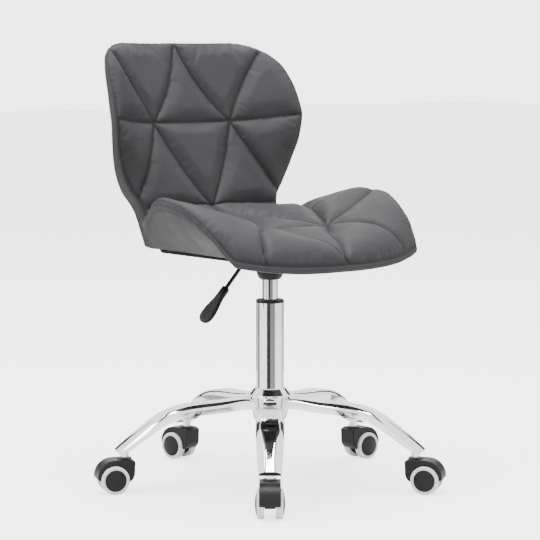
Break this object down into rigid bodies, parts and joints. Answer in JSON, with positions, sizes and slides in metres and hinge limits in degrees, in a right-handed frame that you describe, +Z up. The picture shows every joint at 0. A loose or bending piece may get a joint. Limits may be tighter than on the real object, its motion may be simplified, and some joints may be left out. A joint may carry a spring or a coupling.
{
  "type": "swivel chair",
  "caption": "Swivel chair with winged quilted seat and back, gas lift with side lever, and chromed star base on casters.",
  "frame": {"origin": "on the floor, under the swivel axis", "axes": "+Z up along the swivel axis, the seat faces -Y, +X is the sitter's left"},
  "size_m": [0.6134, 0.5967, 0.7858],
  "materials": {
    "chromed_steel": "polished chrome plate",
    "bright_steel": "zinc plated",
    "inner_plastic": "natural nylon",
    "black_plastic": "satin moulded nylon",
    "wheel_cap": "satin moulded cap",
    "grey_tread": "pale grey soft tread",
    "black_paint": "black powder coat",
    "plywood": "raw plywood",
    "dust_cloth": "black non-woven",
    "upholstery": "grey leather-look coated fabric, semi-matt"
  },
  "bodies": {
    "base": {"base_hub": "chromed_steel", "base_leg_1": "chromed_steel", "base_leg_2": "chromed_steel", "base_leg_3": "chromed_steel", "base_leg_4": "chromed_steel", "base_leg_5": "chromed_steel", "caster_sockets": "chromed_steel", "caster_stems": "bright_steel", "stem_grip_rings": "bright_steel", "lift_outer_tube": "chromed_steel", "guide_bush": "black_plastic", "thrust_bearing": "bright_steel"},
    "lift_rod": {"piston_rod": "bright_steel", "piston": "inner_plastic", "rod_clip": "bright_steel"},
    "seat": {"gas_cylinder": "chromed_steel", "cylinder_end_plug": "inner_plastic", "seat_plate": "black_paint", "plate_cup": "black_plastic", "seat_bolts": "bright_steel", "seat_board": "plywood", "seat_dust_cover": "dust_cloth", "seat_cushion": "upholstery", "back_board": "plywood", "back_cushion": "upholstery", "joining_straps": "bright_steel", "strap_screws": "bright_steel"},
    "lever": {"lever_rod": "black_paint", "lever_grip": "black_plastic"},
    "release_button": {"release_pin": "bright_steel"},
    "caster_1": {"caster_hood_1": "black_plastic", "caster_axle_1": "bright_steel"},
    "caster_1_wheel_left": {"caster_1_wheel_left": "wheel_cap", "caster_1_tyre_left": "grey_tread"},
    "caster_1_wheel_right": {"caster_1_wheel_right": "wheel_cap", "caster_1_tyre_right": "grey_tread"},
    "caster_2": {"caster_hood_2": "black_plastic", "caster_axle_2": "bright_steel"},
    "caster_2_wheel_left": {"caster_2_wheel_left": "wheel_cap", "caster_2_tyre_left": "grey_tread"},
    "caster_2_wheel_right": {"caster_2_wheel_right": "wheel_cap", "caster_2_tyre_right": "grey_tread"},
    "caster_3": {"caster_hood_3": "black_plastic", "caster_axle_3": "bright_steel"},
    "caster_3_wheel_left": {"caster_3_wheel_left": "wheel_cap", "caster_3_tyre_left": "grey_tread"},
    "caster_3_wheel_right": {"caster_3_wheel_right": "wheel_cap", "caster_3_tyre_right": "grey_tread"},
    "caster_4": {"caster_hood_4": "black_plastic", "caster_axle_4": "bright_steel"},
    "caster_4_wheel_left": {"caster_4_wheel_left": "wheel_cap", "caster_4_tyre_left": "grey_tread"},
    "caster_4_wheel_right": {"caster_4_wheel_right": "wheel_cap", "caster_4_tyre_right": "grey_tread"},
    "caster_5": {"caster_hood_5": "black_plastic", "caster_axle_5": "bright_steel"},
    "caster_5_wheel_left": {"caster_5_wheel_left": "wheel_cap", "caster_5_tyre_left": "grey_tread"},
    "caster_5_wheel_right": {"caster_5_wheel_right": "wheel_cap", "caster_5_tyre_right": "grey_tread"}
  },
  "joints": [
    {"name": "seat_swivel", "type": "hinge", "parent": "base", "child": "lift_rod", "pos_m": [0, 0, 0.12], "axis": [0, 0, 1], "continuous": true},
    {"name": "height_lift", "type": "slide", "parent": "lift_rod", "child": "seat", "axis": [0, 0, 1], "range_m": [0, 0.1]},
    {"name": "lever_lift", "type": "hinge", "parent": "seat", "child": "lever", "pos_m": [-0.026, 0, 0.4058], "axis": [0, 1, 0], "range_deg": [0, 7], "stiffness_Nm_per_rad": 0.6, "springref_deg": -20.05},
    {"name": "valve_press", "type": "slide", "parent": "seat", "child": "release_button", "axis": [0, 0, -1], "range_m": [0, 0.0034]},
    {"name": "caster_1_swivel", "type": "hinge", "parent": "base", "child": "caster_1", "pos_m": [-0.16841, -0.20796, 0.05], "axis": [0, 0, 1], "continuous": true},
    {"name": "caster_1_spin_left", "type": "hinge", "parent": "caster_1", "child": "caster_1_wheel_left", "pos_m": [-0.18131, -0.2239, 0.025], "axis": [0.7771, -0.6293, 0], "continuous": true},
    {"name": "caster_1_spin_right", "type": "hinge", "parent": "caster_1", "child": "caster_1_wheel_right", "pos_m": [-0.18131, -0.2239, 0.025], "axis": [0.7771, -0.6293, 0], "continuous": true},
    {"name": "caster_2_swivel", "type": "hinge", "parent": "base", "child": "caster_2", "pos_m": [0.14575, -0.22443, 0.05], "axis": [0, 0, 1], "continuous": true},
    {"name": "caster_2_spin_left", "type": "hinge", "parent": "caster_2", "child": "caster_2_wheel_left", "pos_m": [0.15691, -0.24162, 0.025], "axis": [0.8387, 0.5446, 0], "continuous": true},
    {"name": "caster_2_spin_right", "type": "hinge", "parent": "caster_2", "child": "caster_2_wheel_right", "pos_m": [0.15691, -0.24162, 0.025], "axis": [0.8387, 0.5446, 0], "continuous": true},
    {"name": "caster_3_swivel", "type": "hinge", "parent": "base", "child": "caster_3", "pos_m": [0.25848, 0.06926, 0.05], "axis": [0, 0, 1], "continuous": true},
    {"name": "caster_3_spin_left", "type": "hinge", "parent": "caster_3", "child": "caster_3_wheel_left", "pos_m": [0.27897, 0.06997, 0.025], "axis": [-0.0349, 0.9994, 0], "continuous": true},
    {"name": "caster_3_spin_right", "type": "hinge", "parent": "caster_3", "child": "caster_3_wheel_right", "pos_m": [0.27897, 0.06997, 0.025], "axis": [-0.0349, 0.9994, 0], "continuous": true},
    {"name": "caster_4_swivel", "type": "hinge", "parent": "base", "child": "caster_4", "pos_m": [0.01401, 0.26723, 0.05], "axis": [0, 0, 1], "continuous": true},
    {"name": "caster_4_spin_left", "type": "hinge", "parent": "caster_4", "child": "caster_4_wheel_left", "pos_m": [0.01044, 0.28742, 0.025], "axis": [-0.9848, -0.1736, 0], "continuous": true},
    {"name": "caster_4_spin_right", "type": "hinge", "parent": "caster_4", "child": "caster_4_wheel_right", "pos_m": [0.01044, 0.28742, 0.025], "axis": [-0.9848, -0.1736, 0], "continuous": true},
    {"name": "caster_5_swivel", "type": "hinge", "parent": "base", "child": "caster_5", "pos_m": [-0.24983, 0.0959, 0.05], "axis": [0, 0, 1], "continuous": true},
    {"name": "caster_5_spin_left", "type": "hinge", "parent": "caster_5", "child": "caster_5_wheel_left", "pos_m": [-0.26897, 0.10325, 0.025], "axis": [-0.3584, -0.9336, 0], "continuous": true},
    {"name": "caster_5_spin_right", "type": "hinge", "parent": "caster_5", "child": "caster_5_wheel_right", "pos_m": [-0.26897, 0.10325, 0.025], "axis": [-0.3584, -0.9336, 0], "continuous": true}
  ],
  "couplings": [
    {"joint": "valve_press", "follows": "lever_lift", "m_per_rad": 0.026}
  ]
}
